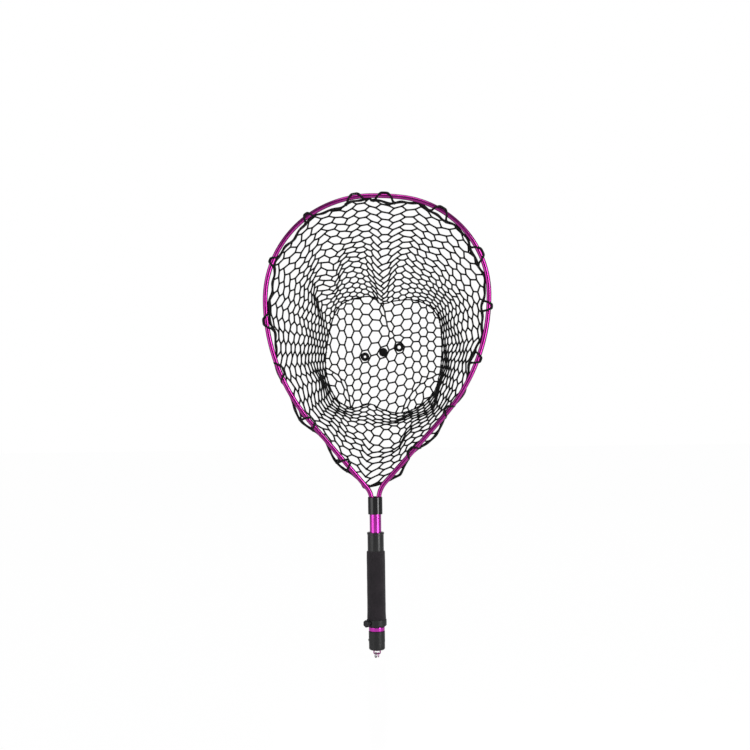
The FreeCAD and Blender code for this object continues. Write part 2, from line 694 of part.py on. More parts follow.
def net_bag():
    """Thin closed shell, open at the mouth. The mesh's strands are as thick as its wall."""
    outer = bag_loft(0.0, -BAG_FRONT, BAG_DEPTH)
    inner = bag_loft(BAG_WALL, -BAG_FRONT - 1, BAG_DEPTH - BAG_WALL)
    return outer.cut(inner)


def rim_loops():
    """Loops round the hoop tube, evenly spaced round its outline above the neck."""
    left = half_length(LEFT_HALF) - 2 * BAG_LOWEST_ABOVE_BEND
    right = half_length(RIGHT_HALF) - 2 * BAG_LOWEST_ABOVE_BEND
    pitch = (left + right) / (LOOP_COUNT - 1)
    loops = []
    for index in range(LOOP_COUNT):
        distance = -left + index * pitch
        half = LEFT_HALF if distance < 0 else RIGHT_HALF
        place, forward = hoop_point(half, abs(distance))
        loops.append(Part.makeTorus(loop_radius, LOOP_WIRE_RADIUS, place, forward))
    return loops


# ---- Output ----
NODES = {
    "hoop_left": lambda: hoop_tube(LEFT_HALF), "hoop_right": lambda: hoop_tube(RIGHT_HALF),
    "hoop_joint_pin": hoop_joint_pin, "neck_collar": neck_collar, "neck_plug": neck_plug,
    "neck_rivets": neck_rivets, "inner_tube": inner_tube, "foot_plug": foot_plug,
    "foot_screw": foot_screw, "guide_bush": guide_bush, "outer_tube": outer_tube,
    "collar_sleeve": collar_sleeve, "collet": collet, "lock_collar": lock_collar, "grip": grip,
    "trim_ring": trim_ring, "end_cap": end_cap, "cap_screw": cap_screw, "butt_plug": butt_plug,
    "butt_eye": butt_eye, "eye_washer": eye_washer, "eye_nut": eye_nut, "split_ring": split_ring,
    "small_link": small_link, "clamp_band": clamp_band, "clamp_screw": clamp_screw,
    "clamp_knob": clamp_knob, "net_bag": net_bag, "rim_loops": rim_loops,
}


def main():
    os.makedirs("parts", exist_ok=True)
    for name, make in NODES.items():
        made = make()
        shape = Part.makeCompound(made) if isinstance(made, list) else made
        whole = all(solid.isValid() for solid in shape.Solids)
        print(f"{name}: {len(shape.Solids)} solids, {shape.Volume:.0f} mm3, valid {whole}")
        shape.exportStep(f"parts/{name}.step")


main()
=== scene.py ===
"""Looks for the landing net: finishes for its CAD pieces, a moulded mesh bag, its border and a foam grip.

Metres, in the CAD frame: +Z runs up the handle to the hoop's crown, the hoop lies in the XZ plane, and
the bag hangs towards +Y. The bag, its border and the grip are built here in place of their plain solids.
"""
import json
import math

import bpy
import numpy as np
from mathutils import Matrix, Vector


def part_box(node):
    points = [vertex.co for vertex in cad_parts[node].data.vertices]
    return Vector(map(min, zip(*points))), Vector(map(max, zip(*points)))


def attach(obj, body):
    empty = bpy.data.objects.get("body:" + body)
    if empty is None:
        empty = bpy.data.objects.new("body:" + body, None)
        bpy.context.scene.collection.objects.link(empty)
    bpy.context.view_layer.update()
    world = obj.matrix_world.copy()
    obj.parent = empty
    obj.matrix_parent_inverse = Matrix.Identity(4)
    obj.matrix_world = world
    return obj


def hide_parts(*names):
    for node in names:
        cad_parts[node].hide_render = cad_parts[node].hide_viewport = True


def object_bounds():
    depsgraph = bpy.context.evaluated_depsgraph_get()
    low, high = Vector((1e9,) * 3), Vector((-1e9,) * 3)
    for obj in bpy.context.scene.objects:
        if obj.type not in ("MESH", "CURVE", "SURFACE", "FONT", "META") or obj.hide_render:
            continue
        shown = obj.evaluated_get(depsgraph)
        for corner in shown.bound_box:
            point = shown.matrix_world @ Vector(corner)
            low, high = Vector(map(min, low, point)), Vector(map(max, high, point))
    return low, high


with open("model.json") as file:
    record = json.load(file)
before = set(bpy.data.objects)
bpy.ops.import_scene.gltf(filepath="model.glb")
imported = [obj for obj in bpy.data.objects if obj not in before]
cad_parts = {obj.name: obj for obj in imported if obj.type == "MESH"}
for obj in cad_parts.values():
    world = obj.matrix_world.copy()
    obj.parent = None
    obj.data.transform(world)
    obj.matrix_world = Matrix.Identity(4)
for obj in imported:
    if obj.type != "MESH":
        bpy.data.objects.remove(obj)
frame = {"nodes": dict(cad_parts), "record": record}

CAD_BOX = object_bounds()
MM = 0.001
TINY = 0.01 * MM

# ---- The hoop's centre line, from the crown down each side (the CAD's own outline) ----
HOOP_RADIUS = 3.9 * MM                                  # of the tube
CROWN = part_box("hoop_left")[1][2] - HOOP_RADIUS         # height of the centre line at the crown
HOOP_REACH = 486.0 * MM
LEG_OFFSET = 5.9 * MM
LEFT_SIDE = {"side": -1, "half_width": 171.8 * MM, "crown_radius": 180.0 * MM, "crown_angle": 26.0,
             "lean": 40.0, "neck_radius": 29.0 * MM}
RIGHT_SIDE = {"side": 1, "half_width": 186.5 * MM, "crown_radius": 400.0 * MM, "crown_angle": 7.0,
              "lean": 42.4, "neck_radius": 40.0 * MM}
LINE_STEPS = 160                                        # points on each arc or run of the line
SIDE_STEPS = 600                                        # points on the border down each side
BRIDGE_STEPS = 80                                       # and between the legs, over the neck
BRIDGE_SAG = 6.0 * MM
SPLINE_STEPS = 24                                       # points on each span of a smooth closed line

# ---- Mesh bag ----
COLUMNS = 60                    # columns of cells round the mouth, an even number
ROWS = 16                       # rows of cells from the border to the bottom panel, at the crown
# Rows left by the border's cut: (place round the mouth, clockwise from the crown in turns, rows)
ROWS_LEFT = [(0.0, 16.0), (0.13, 14.5), (0.25, 10.0), (0.38, 9.5), (0.5, 13.0), (0.62, 10.5), (0.74, 13.0),
             (0.87, 15.5), (1.0, 16.0)]
CELL_SIDE = 10.4 * MM           # one strand of a cell
FLAT_SHARE = 0.30               # half of a cell's flat side, in columns
COLUMN_JITTER = 0.035           # random shift of a wall node, in columns
LEVEL_JITTER = 0.0035           # and down the wall, as a share of it
PANEL_JITTER = 0.35 * MM        # random shift of a panel node
PANEL_MIDDLE = (21.0 * MM, 383.0 * MM)
BAG_DEPTH = 179.0 * MM
INNER_DEPTH = 0.35 * BAG_DEPTH  # depth of a point inside the bag that its strands face away from
RIM_INSET = 7.6 * MM            # border inside the tube's centre line round the crown
RIM_OUTSET = 6.5 * MM           # and outside it down the legs
RIM_DEPTH = 4.0 * MM            # border behind the hoop's plane
OUT_FROM = {-1: 0.31, 1: 0.37}  # where the border starts to come out, from the crown on each side
OUT_OVER = 0.13                 # and how far it takes to come right out
RIM_ENDS = {-1: 2.0 * MM, 1: 24.0 * MM}  # border's lowest points, above the neck bends
STRAND_RADIUS = 1.36 * MM
NODE_RADIUS = 1.7 * MM
STRAND_SIDES = 7
NODE_SIDES = 6
NODE_LATITUDES = (40, 0, -40)   # degrees
NODE_SPREAD = 1.1               # a node's width against its height
STRAND_STATIONS = (0.0, 0.1, 0.25, 0.5, 0.75, 0.9, 1.0)     # rings along a strand, as shares of it
OUTLINE_RADIUS = 1.15 * MM      # of the strand round the bottom panel
BORDER_RADIUS = 2.15 * MM
BORDER_SWAY = 2.8 * MM          # its sway in and out between the loops that hold it
LOOSE_PITCH = 33.3 * MM         # of a quicker, smaller sway on top of it
LOOSE_SHARE = 0.35              # its size inside the hoop, as a share of the sway
LOOSE_DEPTH = 0.6               # and its size front to back
LEG_SWAY = 1.6                  # sway down the legs, as a share of the sway
BORDER_STEPS = 700
BORDER_LUMPS = 60               # slow swellings round it
BORDER_LUMP = 0.12              # and their share of its radius
LOOP_PITCH = 90.0 * MM          # between the loops along the hoop

# Outline strand of the bottom panel: x, z and how far it lies in front of the panel's own depth, in mm
# from the panel's middle, clockwise from the fold at the top.
PANEL_OUTLINE = [
    (-9, 82, 16), (3, 82, 12), (15, 86, 3), (47, 88, 0), (75, 78, 0), (93, 56, 0), (98, 18, 0),
    (97, -16, 2), (93, -42, 8), (82, -74, 13), (54, -98, 13), (22, -108, 10), (-8, -101, 4), (-28, -92, 3),
    (-58, -98, 10), (-84, -84, 13), (-99, -54, 13), (-104, -22, 7), (-101, 12, 0), (-95, 42, 0),
    (-84, 72, 0), (-68, 86, 0), (-46, 93, 0), (-22, 94, 4),
]
# Creases in the panel: points x, z from its middle in mm, how far each stands towards the mouth, and on
# which side of the line it stays up as a ledge (1 left, -1 right, 0: a ridge that falls away on both)
CREASES = [
    ([(-9, 92), (-3, 70), (3, 46), (12, 26)], 15.0, 0),
    ([(-112, -24), (-86, -36), (-68, -58), (-60, -84), (-60, -112)], 15.0, -1),
    ([(102, -36), (74, -46), (50, -62), (34, -86), (22, -114)], 15.0, 1),
]
CREASE_WIDTH = 7.0 * MM         # over which a crease rises
CREASE_PULL = {0: 8.0 * MM, -1: 12.5 * MM, 1: 12.5 * MM}    # how far cells are drawn in towards each kind
CREASE_GATHER = {0: 10.0 * MM, -1: 15.0 * MM, 1: 15.0 * MM}  # and the distance over which they close up
RIDGE_REACH = 34.0 * MM         # beyond which a ridge draws nothing in
PANEL_BELLY = 3.0 * MM          # height of slow waves in the panel
BELLY_WAVES = (45.0, 52.0)      # radians a metre, across and up
OUTLINE_HOLD = 12.0 * MM        # over which the panel comes to its outline strand's depth
PANEL_SQUEEZE = 0.11            # how much narrower its outer cells are than those in the middle


# ---- Hoop line ----
def side_stretches(side):
    """Arcs (radius, turn) and the run (None, length) of one side, from the crown to the neck bend's foot."""
    turn = math.radians(side["crown_angle"])
    lean = math.radians(side["lean"])
    neck = side["neck_radius"]
    shoulder = (side["half_width"] - side["crown_radius"] * math.sin(turn)) / (1 - math.sin(turn))
    fall = side["crown_radius"] * (1 - math.cos(turn)) + shoulder * math.cos(turn)
    across = LEG_OFFSET - side["half_width"] + neck * (1 - math.cos(lean))
    down = HOOP_REACH - fall - neck * math.sin(lean)
    det = (math.cos(lean) - 1) * math.cos(lean) + math.sin(lean) ** 2
    flank = (across * math.cos(lean) + down * math.sin(lean)) / det
    run = ((math.cos(lean) - 1) * down - math.sin(lean) * across) / det
    return [(side["crown_radius"], turn), (shoulder, math.pi / 2 - turn), (flank, lean), (None, run),
            (-neck, lean)]


def side_line(side):
    """Distances from the crown with the line's x, z and its outward normal there."""
    hand = side["side"]
    x, z, heading, gone = 0.0, CROWN, 0.0, 0.0
    rows = []
    for radius, turn in side_stretches(side):
        length = turn if radius is None else abs(radius) * turn
        for step in range(LINE_STEPS):
            along = length * step / LINE_STEPS
            after = heading if radius is None else heading + along / radius
            if radius is None:
                px = x + hand * math.cos(heading) * along
                pz = z - math.sin(heading) * along
            else:
                px = x + hand * radius * (math.sin(after) - math.sin(heading))
                pz = z + radius * (math.cos(after) - math.cos(heading))
            rows.append((gone + along, px, pz, hand * math.sin(after), math.cos(after)))
        if radius is None:
            x += hand * math.cos(heading) * length
            z -= math.sin(heading) * length
        else:
            after = heading + length / radius
            x += hand * radius * (math.sin(after) - math.sin(heading))
            z += radius * (math.cos(after) - math.cos(heading))
            heading = after
        gone += length
    return np.array(rows)


SIDE_LINES = {-1: side_line(LEFT_SIDE), 1: side_line(RIGHT_SIDE)}


def side_reach(hand):
    """Distance from the crown to the top of the neck bend."""
    side = LEFT_SIDE if hand < 0 else RIGHT_SIDE
    return SIDE_LINES[hand][LINE_STEPS * 4 - 1, 0]


def hoop_at(distance):
    """x, z and outward normal of the hoop line at signed distances from the crown, + to the right."""
    distance = np.atleast_1d(np.asarray(distance, float))
    found = np.zeros((len(distance), 4))
    for hand, line in SIDE_LINES.items():
        here = (distance >= 0) == (hand > 0)
        for column in range(4):
            found[here, column] = np.interp(np.abs(distance[here]), line[:, 0], line[:, column + 1])
    return found


def smooth(value, low, high):
    """0 up to low, 1 from high on, and an even S between them."""
    share = np.clip((value - low) / (high - low), 0, 1)
    return share * share * (3 - 2 * share)


# ---- Bag: surface ----
def evenly(points, count):
    """Points at even distances round a closed line."""
    closed = np.vstack([points, points[:1]])
    gone = np.r_[0, np.cumsum(np.linalg.norm(np.diff(closed, axis=0), axis=1))]
    wanted = np.linspace(0, gone[-1], count, endpoint=False)
    return np.stack([np.interp(wanted, gone, closed[:, k]) for k in range(3)], -1)


def closed_spline(corners, count):
    """A smooth closed line through corner points, at even distances."""
    corners = np.asarray(corners, float)
    share = np.linspace(0, 1, SPLINE_STEPS, endpoint=False)[:, None]
    spans = []
    for index in range(len(corners)):
        p0, p1, p2, p3 = (np.roll(corners, 1 - index - k, axis=0)[0] for k in range(4))
        spans.append(0.5 * (2 * p1 + (p2 - p0) * share + (2 * p0 - 5 * p1 + 4 * p2 - p3) * share ** 2
                            + (3 * p1 - p0 - 3 * p2 + p3) * share ** 3))
    return evenly(np.vstack(spans), count)


def border_offset(hand, gone):
    """How far inside the hoop's line and how far behind it the border runs, at distances from the crown."""
    outside = smooth(gone, OUT_FROM[hand], OUT_FROM[hand] + OUT_OVER)
    beat = np.cos(2 * math.pi * gone / LOOP_PITCH + hand)
    loose = np.sin(2 * math.pi * gone / LOOSE_PITCH + 2 * hand)
    inset = (RIM_INSET + BORDER_SWAY * (LOOSE_SHARE * loose - beat)) * (1 - outside)
    inset -= (RIM_OUTSET + LEG_SWAY * BORDER_SWAY * beat) * outside
    return inset, RIM_DEPTH * (1 + outside) + LOOSE_DEPTH * BORDER_SWAY * loose


def side_border(hand, count):
    """The border down one side: inside the tube round the crown, then out behind it down the leg."""
    distance = hand * np.linspace(0, side_reach(hand) - RIM_ENDS[hand], count)
    line = hoop_at(distance)
    inset, depth = border_offset(hand, np.abs(distance))
    return np.stack([line[:, 0] - line[:, 2] * inset, depth, line[:, 1] - line[:, 3] * inset], -1)


def mouth_line(count):
    """The whole border, clockwise from the crown, as seen from the front."""
    right = side_border(1, SIDE_STEPS)
    left = side_border(-1, SIDE_STEPS)[::-1]
    share = np.linspace(0, 1, BRIDGE_STEPS)[1:-1, None]
    sag = (right[-1] + left[0]) / 2 + np.array([0, RIM_DEPTH, -BRIDGE_SAG])
    bridge = (1 - share) ** 2 * right[-1] + 2 * share * (1 - share) * sag + share ** 2 * left[0]
    return evenly(np.vstack([right, bridge, left[:-1]]), count)


def bearing(points):
    """Angle round the panel's middle, clockwise from the top, in turns."""
    return np.arctan2(points[..., 0] - PANEL_MIDDLE[0], points[..., 2] - PANEL_MIDDLE[1]) / (2 * math.pi)


def panel_outline(count):
    """The panel's outline strand, clockwise from the fold at its top."""
    corners = [(PANEL_MIDDLE[0] + x * MM, BAG_DEPTH - front * MM, PANEL_MIDDLE[1] + z * MM)
               for x, z, front in PANEL_OUTLINE]
    return closed_spline(corners, count)


def matched(line, turns, count):
    """Points round a closed line, spread so that its start and given bearings fall at even shares."""
    angle = np.mod(bearing(line), 1.0)
    marks = [0] + [int(np.argmin(np.abs(angle - turn))) for turn in turns] + [len(line)]
    shares = np.linspace(0, count, count, endpoint=False) / count
    places = np.interp(shares, MATCH_SHARES, marks)
    closed = np.vstack([line, line[:1]])
    return np.stack([np.interp(places, np.arange(len(closed)), closed[:, k]) for k in range(3)], -1)


FINE = 1200                         # steps round the mouth on which the bag's surface is worked out
OUTLINE_THIN = 4                    # every so many of them carry the outline strand
MATCH_TURNS = (0.25, 0.5, 0.75)     # right, foot and left of the bag, which the mouth and panel share
MATCH_SHARES = (0.0, 0.27, 0.5, 0.73, 1.0)
PANEL_HALF = (96.0 * MM, 95.0 * MM)
END_EARLY = 0.15                    # how much sooner the top and foot walls come in than they drop
END_LATE = 0.10
SIDE_EARLY = {-1: 0.12, 1: 0.35}    # how much sooner the left and right walls come in than those do
SIDE_LATE = 0.15                    # and how much later they drop to the panel
FOLDS_FROM = 0.22                   # folds run from this share of the wall's height to the panel
RIPPLES = [
    # place round the mouth, its drift down the wall, half width (shares of a turn), height up the wall,
    # half height, depth in mm
    (0.865, -0.14, 0.024, 0.60, 0.30, 12.0), (0.905, -0.14, 0.022, 0.52, 0.28, -8.0),
    (0.770, 0.00, 0.030, 0.50, 0.24, -4.0), (0.625, -0.04, 0.026, 0.50, 0.28, 8.0),
    (0.385, 0.04, 0.026, 0.50, 0.28, 8.0), (0.670, 0.00, 0.022, 0.50, 0.26, -4.0),
    (0.335, 0.00, 0.022, 0.50, 0.26, -4.0), (0.500, 0.00, 0.060, 0.46, 0.12, 7.0),
    (0.500, 0.00, 0.060, 0.64, 0.12, -7.0), (0.055, 0.00, 0.034, 0.60, 0.30, 7.0),
    (0.945, 0.00, 0.034, 0.58, 0.30, 7.0), (0.010, -0.01, 0.018, 0.62, 0.36, -14.0),
]
SWELLS = 9                          # slow waves that keep the wall from hanging evenly
SWELL_SIZE = 1.1 * MM
RIPPLE_RISE = 0.35                  # how much a ripple lifts towards the mouth, as a share of its depth
RIPPLE_END = 0.12                   # ripples die out over this share of the wall next to the panel


class Wall:
    """The bag's side wall: a point for a place round the mouth and a share of the way down it."""

    def __init__(self):
        self.mouth = matched(mouth_line(FINE), MATCH_TURNS, FINE)
        self.outline = matched(panel_outline(FINE), MATCH_TURNS, FINE)
        turn = bearing(self.outline) * 2 * math.pi
        chance = np.random.default_rng(3)
        self.swells = [(chance.integers(3, 15), chance.uniform(0.5, 2.5), chance.uniform(0, 2 * math.pi),
                        chance.normal(0, SWELL_SIZE / 2, 3)) for _ in range(SWELLS)]
        self.plain = np.stack([PANEL_MIDDLE[0] + PANEL_HALF[0] * np.sin(turn),
                               np.full(FINE, BAG_DEPTH),
                               PANEL_MIDDLE[1] + PANEL_HALF[1] * np.cos(turn)], -1)

    def at(self, around, share):
        """Points at places round the mouth (turns from the crown) and shares of the way to the panel."""
        around = np.mod(np.asarray(around, float), 1.0)
        share = np.asarray(share, float)
        place = around * FINE
        first = np.floor(place).astype(int) % FINE
        part = (place - np.floor(place))[..., None]
        mouth, outline, plain = (line[first] * (1 - part) + line[(first + 1) % FINE] * part
                                 for line in (self.mouth, self.outline, self.plain))
        folded = smooth(share, FOLDS_FROM, 1.0)[..., None]
        foot = plain * (1 - folded) + outline * folded
        sideways = np.abs(np.sin(2 * math.pi * around)) ** 1.5
        early = END_EARLY + np.where(around < 0.5, SIDE_EARLY[1], SIDE_EARLY[-1]) * sideways
        late = END_LATE + SIDE_LATE * sideways
        inward = ((1 + early) * share - early * share ** 2)[..., None]
        down = ((1 - late) * share + late * share ** 2)[..., None]
        point = mouth * (1 - inward) + foot * inward
        point[..., 1] = (mouth * (1 - down) + foot * down)[..., 1]
        toward = mouth - foot
        toward[..., 1] = 0
        toward /= np.linalg.norm(toward, axis=-1, keepdims=True)
        for middle, drift, width, height, reach, depth in RIPPLES:
            up = (share - height) / reach
            away = (np.mod(around - middle - drift * (share - height) + 0.5, 1.0) - 0.5) / width
            bump = np.exp(-away ** 2 - up ** 2) * smooth(1 - share, 0.0, RIPPLE_END)
            point += toward * (bump * depth * MM)[..., None]
            point[..., 1] -= bump * np.abs(depth) * MM * RIPPLE_RISE
        free = np.sin(math.pi * share)
        for turns, rows, phase, pull in self.swells:
            wave = np.sin(2 * math.pi * (turns * around + rows * share) + phase) * free
            point += wave[..., None] * pull
        return point


# ---- Bag: strands ----
def wall_strands(wall, jitter):
    """Nodes and strands of the wall's cells, cut off by the border. Levels are half rows."""
    levels = 2 * ROWS
    column, level, side = np.meshgrid(np.arange(COLUMNS), np.arange(levels + 1), (-1, 1), indexing="ij")
    used = (column + level) % 2 == 0
    number = np.full(column.shape, -1)
    number[used] = np.arange(used.sum())
    place = level[used] / levels
    free = np.sin(math.pi * place)
    drift = jitter.normal(0, COLUMN_JITTER, used.sum()) * free
    around = (column[used] + side[used] * FLAT_SHARE + drift) / COLUMNS
    left = np.interp(np.mod(around, 1.0), *np.array(ROWS_LEFT).T)
    share = 1 - (1 - place - jitter.normal(0, LEVEL_JITTER, used.sum()) * free) * ROWS / left
    strands = []
    for i in range(COLUMNS):
        for j in range(levels + 1):
            if (i + j) % 2:
                continue
            if 0 < j < levels:
                strands.append((number[i, j, 0], number[i, j, 1]))
            for k in (j - 1, j + 1):
                if 0 <= k <= levels:
                    strands.append((number[i, j, 1], number[(i + 1) % COLUMNS, k, 0]))
    kept = []
    cuts = []
    for a, b in strands:
        inner, outer = (a, b) if share[a] > share[b] else (b, a)
        if share[inner] <= 0:
            continue
        if share[outer] < 0:
            part = share[inner] / (share[inner] - share[outer])
            step = (around[outer] - around[inner] + 0.5) % 1.0 - 0.5
            outer = len(share) + len(cuts)
            cuts.append(around[inner] + step * part)
        kept.append((inner, outer))
    around = np.r_[around, cuts]
    share = np.r_[np.maximum(share, 0), np.zeros(len(cuts))]
    return wall.at(around, share), np.array(kept)


def inside(points, outline):
    """Which points (x, z) lie inside a closed outline."""
    x, z = points[:, 0, None], points[:, 1, None]
    x0, z0 = outline[:, 0], outline[:, 2]
    x1, z1 = np.roll(x0, -1), np.roll(z0, -1)
    span = (z0 > z) != (z1 > z)
    rise = np.where(z1 == z0, 1.0, z1 - z0)
    crossing = span & (x < (x1 - x0) * (z - z0) / rise + x0)
    return crossing.sum(1) % 2 == 1


def from_crease(flat, line):
    """Nearest point on a crease for each panel point, with its distance, + to the left of the line."""
    best = np.full(len(flat), np.inf)
    foot = np.zeros_like(flat)
    spots = np.array(line) * MM + np.array(PANEL_MIDDLE)
    for a, b in zip(spots[:-1], spots[1:]):
        along = b - a
        share = np.clip(((flat - a) @ along) / (along @ along), 0, 1)
        near = a + share[:, None] * along
        away = np.linalg.norm(flat - near, axis=1)
        left = along[0] * (flat - a)[:, 1] - along[1] * (flat - a)[:, 0] > 0
        closer = away < np.abs(best) - TINY
        best[closer] = np.where(left, away, -away)[closer]
        foot[closer] = near[closer]
    return foot, best


def panel_point(flat, outline):
    """Lifts panel points (x, z) to the bag's depth, with its creases and ledges towards the mouth."""
    rise = np.zeros(len(flat))
    for line, front, ledge in CREASES:
        away = from_crease(flat, line)[1]
        ridge = np.exp(-(away / CREASE_WIDTH) ** 2)
        rise = np.maximum(rise, front * MM * (np.where(away * ledge > 0, 1.0, ridge) if ledge else ridge))
    belly = PANEL_BELLY * np.sin(flat[:, 0] * BELLY_WAVES[0]) * np.sin(flat[:, 1] * BELLY_WAVES[1])
    depth = BAG_DEPTH - PANEL_BELLY - rise + belly
    coarse = outline[::OUTLINE_THIN]
    gaps = np.linalg.norm(flat[:, None] - coarse[None, :, ::2], axis=2)
    hold = np.exp(-(gaps.min(1) / OUTLINE_HOLD) ** 2)
    depth = depth * (1 - hold) + coarse[gaps.argmin(1), 1] * hold
    return np.stack([flat[:, 0], depth, flat[:, 1]], -1)


PANEL_TILT = (-0.12, 0.14)      # slope of the rows left and right of the fold at the panel's top
PANEL_TILT_LOWER = (0.22, 0.26)     # and lower down
PANEL_FOLD_X = -1.0 * MM        # the fold's line, from the panel's middle
DISC_CELLS = (-2, 0, 2)         # columns of the three moulded discs, from the middle one
DISC_MIDDLE = (-5.0 * MM, -4.0 * MM)    # the middle disc's cell, from the panel's middle
DISC_RADIUS = 7.6 * MM
DISC_HOLES = (2.0 * MM, 0.0, 2.9 * MM)
DISC_THICKNESS = 2.2 * MM
DISC_EDGE = 0.5 * MM            # width of its chamfered edges
DISC_CORE = 0.05 * MM           # radius of the solid disc's closed middle, and its holes' clearance
DISC_SIDES = 40
TILT_FROM = -15 * MM            # between these heights from the panel's middle the lower tilt gives way
TILT_TO = 45 * MM
TILT_REACH = 110 * MM           # how far to the sides it is felt
SQUEEZE_FROM = 20 * MM          # cells narrow from here to there, to both sides
SQUEEZE_TO = 100 * MM
PANEL_CELLS = 11                # columns and rows of cells laid out to each side of the middle disc
CUT_STEPS = 12                  # halvings that find where a strand meets the panel's outline


def warped(flat):
    """Tilts the panel's rows about the fold that runs down from its top, and draws them to its creases."""
    x = flat[:, 0] - PANEL_MIDDLE[0] - PANEL_FOLD_X
    lower = 1 - smooth(flat[:, 1] - PANEL_MIDDLE[1], TILT_FROM, TILT_TO)
    left, right = (top + (foot - top) * lower for top, foot in zip(PANEL_TILT, PANEL_TILT_LOWER))
    lift = np.where(x < 0, x * left, x * right) * np.exp(-(x / TILT_REACH) ** 2)
    squeeze = -PANEL_SQUEEZE * x * smooth(np.abs(x), SQUEEZE_FROM, SQUEEZE_TO)
    moved = flat + np.stack([squeeze, lift], -1)
    for line, front, ledge in CREASES:
        foot, away = from_crease(moved, line)
        apart = np.abs(away)
        drawn = CREASE_PULL[ledge] * np.tanh(apart / CREASE_GATHER[ledge])
        drawn = drawn * ((away * ledge > 0) if ledge else np.exp(-(apart / RIDGE_REACH) ** 2))
        moved = moved + (foot - moved) * (drawn / np.maximum(apart, TINY))[:, None]
    return moved


def cell_middle(column, row):
    """Middle of a panel cell: columns are 1.5 sides apart, and odd ones stand half a row up."""
    side = CELL_SIDE
    return (PANEL_MIDDLE[0] + DISC_MIDDLE[0] + 1.5 * side * column,
            PANEL_MIDDLE[1] + DISC_MIDDLE[1] + math.sqrt(3) * side * (row + 0.5 * (column % 2)))


def panel_strands(outline, jitter):
    """Nodes and strands of the bottom panel's cells, cut off at its outline strand."""
    nodes, strands, index = [], set(), {}
    for column in range(-PANEL_CELLS, PANEL_CELLS + 1):
        for row in range(-PANEL_CELLS, PANEL_CELLS):
            cx, cz = cell_middle(column, row)
            ring = []
            for corner in range(6):
                angle = math.radians(60 * corner)
                spot = (cx + CELL_SIDE * math.cos(angle), cz + CELL_SIDE * math.sin(angle))
                key = (round(spot[0] / MM), round(spot[1] / MM))
                near = next((index[k] for k in ((key[0] + a, key[1] + b) for a in (-1, 0, 1)
                                                for b in (-1, 0, 1)) if k in index), None)
                if near is None:
                    near = index[key] = len(nodes)
                    nodes.append(spot)
                ring.append(near)
            for a, b in zip(ring, ring[1:] + ring[:1]):
                strands.add((min(a, b), max(a, b)))
    flat = warped(np.array(nodes))
    flat += jitter.normal(0, PANEL_JITTER, flat.shape)
    within = inside(flat, outline)
    kept = []
    cuts = []
    for a, b in sorted(strands):
        if within[a] and within[b]:
            kept.append((a, b))
        elif within[a] or within[b]:
            inner, outer = (a, b) if within[a] else (b, a)
            low, high = 0.0, 1.0
            for _ in range(CUT_STEPS):
                middle = (low + high) / 2
                spot = flat[inner] * (1 - middle) + flat[outer] * middle
                if inside(spot[None], outline)[0]:
                    low = middle
                else:
                    high = middle
            kept.append((inner, len(flat) + len(cuts)))
            cuts.append(flat[inner] * (1 - low) + flat[outer] * low)
    flat = np.vstack([flat, np.array(cuts)])
    return panel_point(flat, outline), np.array(kept)


def strand_mesh(points, strands, normals):
    """Round strands that swell a little into their nodes. Returns vertices and quads."""
    shares = np.array(STRAND_STATIONS)
    start, end = points[strands[:, 0]], points[strands[:, 1]]
    along = end - start
    length = np.linalg.norm(along, axis=1, keepdims=True)
    along = along / np.maximum(length, 1e-6)
    normal = normals[strands[:, 0]] + normals[strands[:, 1]]
    normal -= (normal * along).sum(1, keepdims=True) * along
    normal /= np.maximum(np.linalg.norm(normal, axis=1, keepdims=True), 1e-6)
    across = np.cross(along, normal)
    angle = np.linspace(0, 2 * math.pi, STRAND_SIDES, endpoint=False)
    circle = normal[:, None] * np.cos(angle)[None, :, None] + across[:, None] * np.sin(angle)[None, :, None]
    swell = STRAND_RADIUS + (NODE_RADIUS - STRAND_RADIUS) * np.abs(2 * shares - 1) ** 4
    middle = start[:, None] * (1 - shares)[None, :, None] + end[:, None] * shares[None, :, None]
    rings = middle[:, :, None] + circle[:, None] * swell[None, :, None, None]
    count = len(strands)
    vertices = rings.reshape(-1, 3)
    base = np.arange(count)[:, None, None] * len(shares) * STRAND_SIDES
    ring = np.arange(len(shares) - 1)[None, :, None] * STRAND_SIDES
    spot = np.arange(STRAND_SIDES)[None, None, :]
    after = (spot + 1) % STRAND_SIDES
    quads = np.stack([base + ring + spot, base + ring + after, base + ring + STRAND_SIDES + after,
                      base + ring + STRAND_SIDES + spot], -1).reshape(-1, 4)
    return vertices, quads


def node_mesh(points, used, normals):
    """A small bead at each node, which closes the strands' ends. Returns vertices and faces."""
    sides = NODE_SIDES
    centre = points[used]
    normal = normals[used]
    helper = np.where(np.abs(normal[:, :1]) < 0.9, np.array([[1.0, 0, 0]]), np.array([[0, 0, 1.0]]))
    across = np.cross(normal, helper)
    across /= np.linalg.norm(across, axis=1, keepdims=True)
    third = np.cross(normal, across)
    layers = [centre + normal * NODE_RADIUS]
    for latitude in np.radians(NODE_LATITUDES):
        for angle in np.linspace(0, 2 * math.pi, sides, endpoint=False):
            flat = across * math.cos(angle) + third * math.sin(angle)
            reach = flat * math.cos(latitude) * NODE_SPREAD + normal * math.sin(latitude)
            layers.append(centre + reach * NODE_RADIUS)
    layers.append(centre - normal * NODE_RADIUS)
    vertices = np.stack(layers, 1)
    per = vertices.shape[1]
    faces = []
    for k in range(sides):
        after = (k + 1) % sides
        faces.append((0, 1 + k, 1 + after))
        for ring in range(len(NODE_LATITUDES) - 1):
            low = 1 + ring * sides
            faces.append((low + k, low + sides + k, low + sides + after, low + after))
        last = 1 + (len(NODE_LATITUDES) - 1) * sides
        faces.append((last + k, per - 1, last + after))
    every = [tuple(corner + index * per for corner in face) for index in range(len(used)) for face in faces]
    return vertices.reshape(-1, 3), every


# ---- Mesh objects ----
TUBE_SIDES = 8


